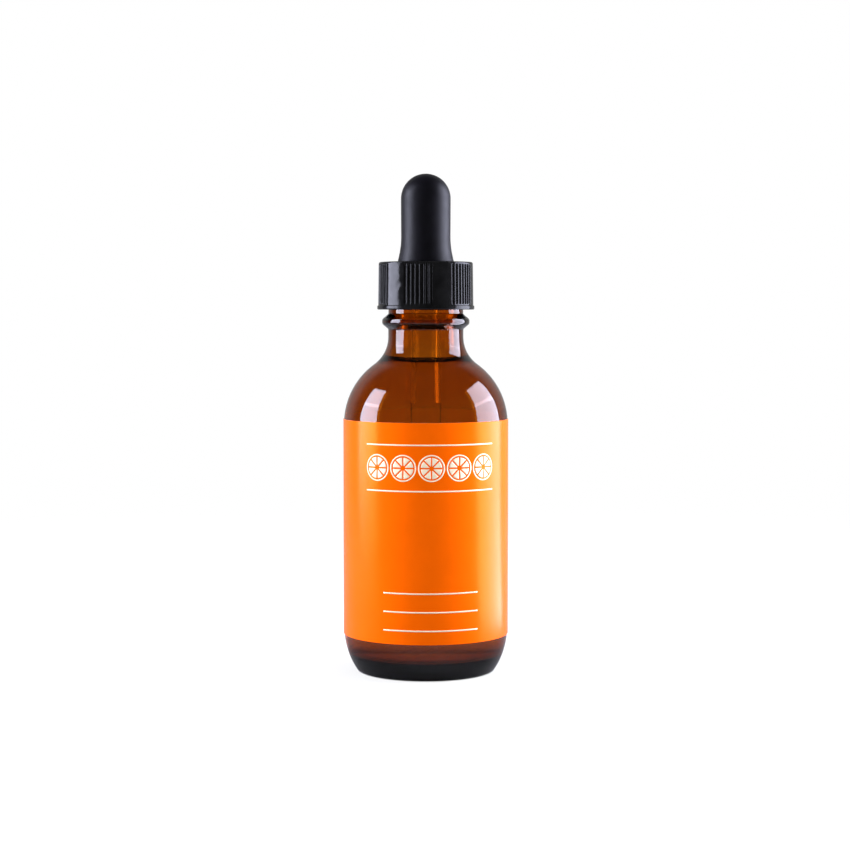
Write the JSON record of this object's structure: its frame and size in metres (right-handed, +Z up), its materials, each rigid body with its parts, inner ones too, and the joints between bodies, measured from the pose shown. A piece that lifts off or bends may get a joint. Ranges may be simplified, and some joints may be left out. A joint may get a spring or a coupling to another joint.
{
  "type": "dropper bottle",
  "caption": "Small round-shouldered amber glass bottle of bitters with a plain orange wrap label and a screw-on dropper: ribbed cap, rubber bulb and glass pipette.",
  "frame": {"origin": "centre of the base, on the surface that the bottle stands on", "axes": "+Z up along the bottle's axis, -Y towards the front of the label"},
  "size_m": [0.0392, 0.039, 0.118],
  "materials": {
    "amber_glass": "gloss",
    "bitters": "gloss",
    "label_paper": "satin",
    "clear_glass": "gloss",
    "cap_plastic": "satin",
    "bulb_rubber": "satin"
  },
  "bodies": {
    "bottle": {"bottle": "amber_glass", "liquid": "bitters", "label": "label_paper"},
    "dropper": {"pipette": "clear_glass"},
    "cap": {"cap": "cap_plastic"},
    "bulb": {"bulb": "bulb_rubber"}
  },
  "joints": [
    {"name": "dropper_lift", "type": "slide", "parent": "bottle", "child": "dropper", "axis": [0, 0, 1], "range_m": [0, 0.085]},
    {"name": "cap_turn", "type": "hinge", "parent": "dropper", "child": "cap", "pos_m": [0, 0, 0.0916], "axis": [0, 0, 1], "range_deg": [0, 360]},
    {"name": "bulb_squeeze", "type": "slide", "parent": "dropper", "child": "bulb", "axis": [0, 0, -1], "range_m": [0, 0.006], "stiffness_N_per_m": 400, "deforming": ["bulb"]}
  ]
}
